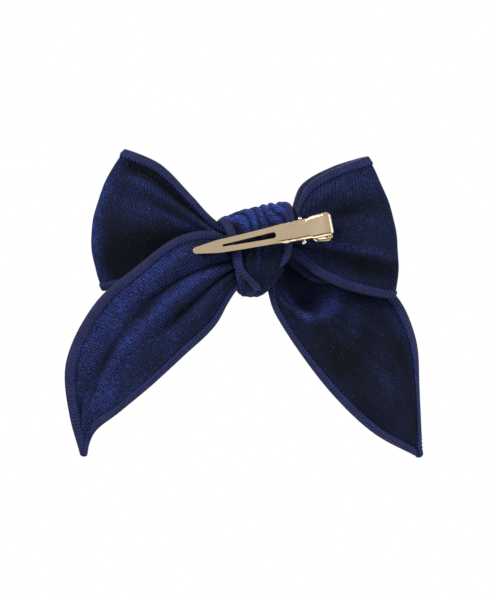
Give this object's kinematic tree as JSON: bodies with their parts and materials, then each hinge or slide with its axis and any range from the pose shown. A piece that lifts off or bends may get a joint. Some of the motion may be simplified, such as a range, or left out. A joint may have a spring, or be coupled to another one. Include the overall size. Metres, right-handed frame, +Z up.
{
  "type": "hair bow",
  "caption": "Hand-tied velvet hair bow with two loops, two pointed tails and a sprung single-prong clip across the back of its knot.",
  "frame": {"origin": "middle of the closed jaws of the clip, between the two prongs, where the hair is held", "axes": "+X to the wide end's right as seen from the clip side, +Z up as worn with the tails hanging down, -Y out of the clip side and +Y out of the display side"},
  "size_m": [0.1188, 0.0262, 0.1027],
  "materials": {
    "velvet": "crushed stretch velvet, navy",
    "edging_thread": "overlocked polyester thread, purple navy",
    "clip_metal": "pale gold plated sheet, bright",
    "pin_metal": "plated rivet, bright",
    "spring_steel": "drawn spring wire",
    "glue": "set hot-melt glue"
  },
  "bodies": {
    "bow": {"left_loop": "velvet", "right_loop": "velvet", "left_tail": "velvet", "right_tail": "velvet", "knot_wrap": "velvet", "knot_core": "velvet", "left_loop_top_edging": "edging_thread", "left_loop_bottom_edging": "edging_thread", "right_loop_top_edging": "edging_thread", "right_loop_bottom_edging": "edging_thread", "left_tail_outer_edging": "edging_thread", "left_tail_inner_edging": "edging_thread", "right_tail_outer_edging": "edging_thread", "right_tail_inner_edging": "edging_thread", "knot_wrap_left_edging": "edging_thread", "knot_wrap_right_edging": "edging_thread", "glue_pad": "glue", "clip_lower_jaw": "clip_metal", "clip_pivot_pin": "pin_metal", "clip_torsion_spring": "spring_steel"},
    "upper_jaw": {"clip_upper_jaw": "clip_metal"}
  },
  "joints": [
    {"name": "clip_hinge", "type": "hinge", "parent": "bow", "child": "upper_jaw", "pos_m": [0.01855, -0.00133, 0.00363], "axis": [-0.1755, 0.1908, 0.9658], "range_deg": [0, 28], "stiffness_Nm_per_rad": 0.06, "springref_deg": -57.3, "deforming": ["clip_torsion_spring"]}
  ]
}
